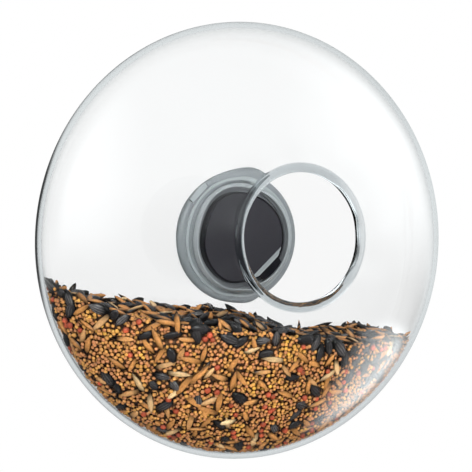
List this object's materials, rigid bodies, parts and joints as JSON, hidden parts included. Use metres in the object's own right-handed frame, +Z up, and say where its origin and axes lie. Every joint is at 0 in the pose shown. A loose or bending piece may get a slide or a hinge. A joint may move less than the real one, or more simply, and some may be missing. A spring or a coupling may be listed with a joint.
{
  "type": "window bird feeder",
  "caption": "Round blown-glass globe with a round mouth in front, filled with seed and hung on the hub of a twist-lock suction cup that sticks to a window pane.",
  "frame": {"origin": "centre of the suction cup's sealing face, on the face of the window pane", "axes": "+Y points into the pane, the mouth faces -Y, +X is to the right as the feeder is looked at, +Z is up"},
  "size_m": [0.26, 0.0872, 0.26],
  "materials": {
    "clear_glass": "mouth-blown, fire-polished edges",
    "seed_mix": "loose mixed millet and oats",
    "husks": "sunflower seed and husks",
    "grey_silicone": "moulded silicone, smooth",
    "light_silicone": "moulded silicone, smooth",
    "grey_plastic": "moulded, satin",
    "charcoal_plastic": "moulded, fine matt texture",
    "acetal": "natural acetal, moulded",
    "steel": "turned stainless steel",
    "brass": "turned brass"
  },
  "bodies": {
    "mount": {"mount_housing": "grey_plastic", "suction_cup": "grey_silicone", "hub_sleeve": "grey_silicone", "seat_gasket": "grey_silicone", "stud_guide": "acetal", "thrust_washer": "acetal"},
    "knob": {"knob_body": "charcoal_plastic", "draw_nut": "brass", "nut_screws": "steel", "knob_cap": "charcoal_plastic", "grip_strip": "light_silicone"},
    "stud": {"draw_stud": "steel", "end_clip": "steel"},
    "globe": {"glass_globe": "clear_glass", "seed_bed": "seed_mix", "husk_layer": "husks"}
  },
  "joints": [
    {"name": "knob_turn", "type": "hinge", "parent": "mount", "child": "knob", "pos_m": [0, 0, 0], "axis": [0, -1, 0], "range_deg": [0, 180]},
    {"name": "stud_draw", "type": "slide", "parent": "mount", "child": "stud", "axis": [0, 1, 0], "range_m": [0, 0.0016], "deforming": ["suction_cup"]},
    {"name": "globe_lift_off", "type": "slide", "parent": "mount", "child": "globe", "axis": [0, -1, 0], "range_m": [0, 0.15], "deforming": ["hub_sleeve"]}
  ],
  "couplings": [
    {"joint": "stud_draw", "follows": "knob_turn", "m_per_rad": 0.0005093}
  ]
}
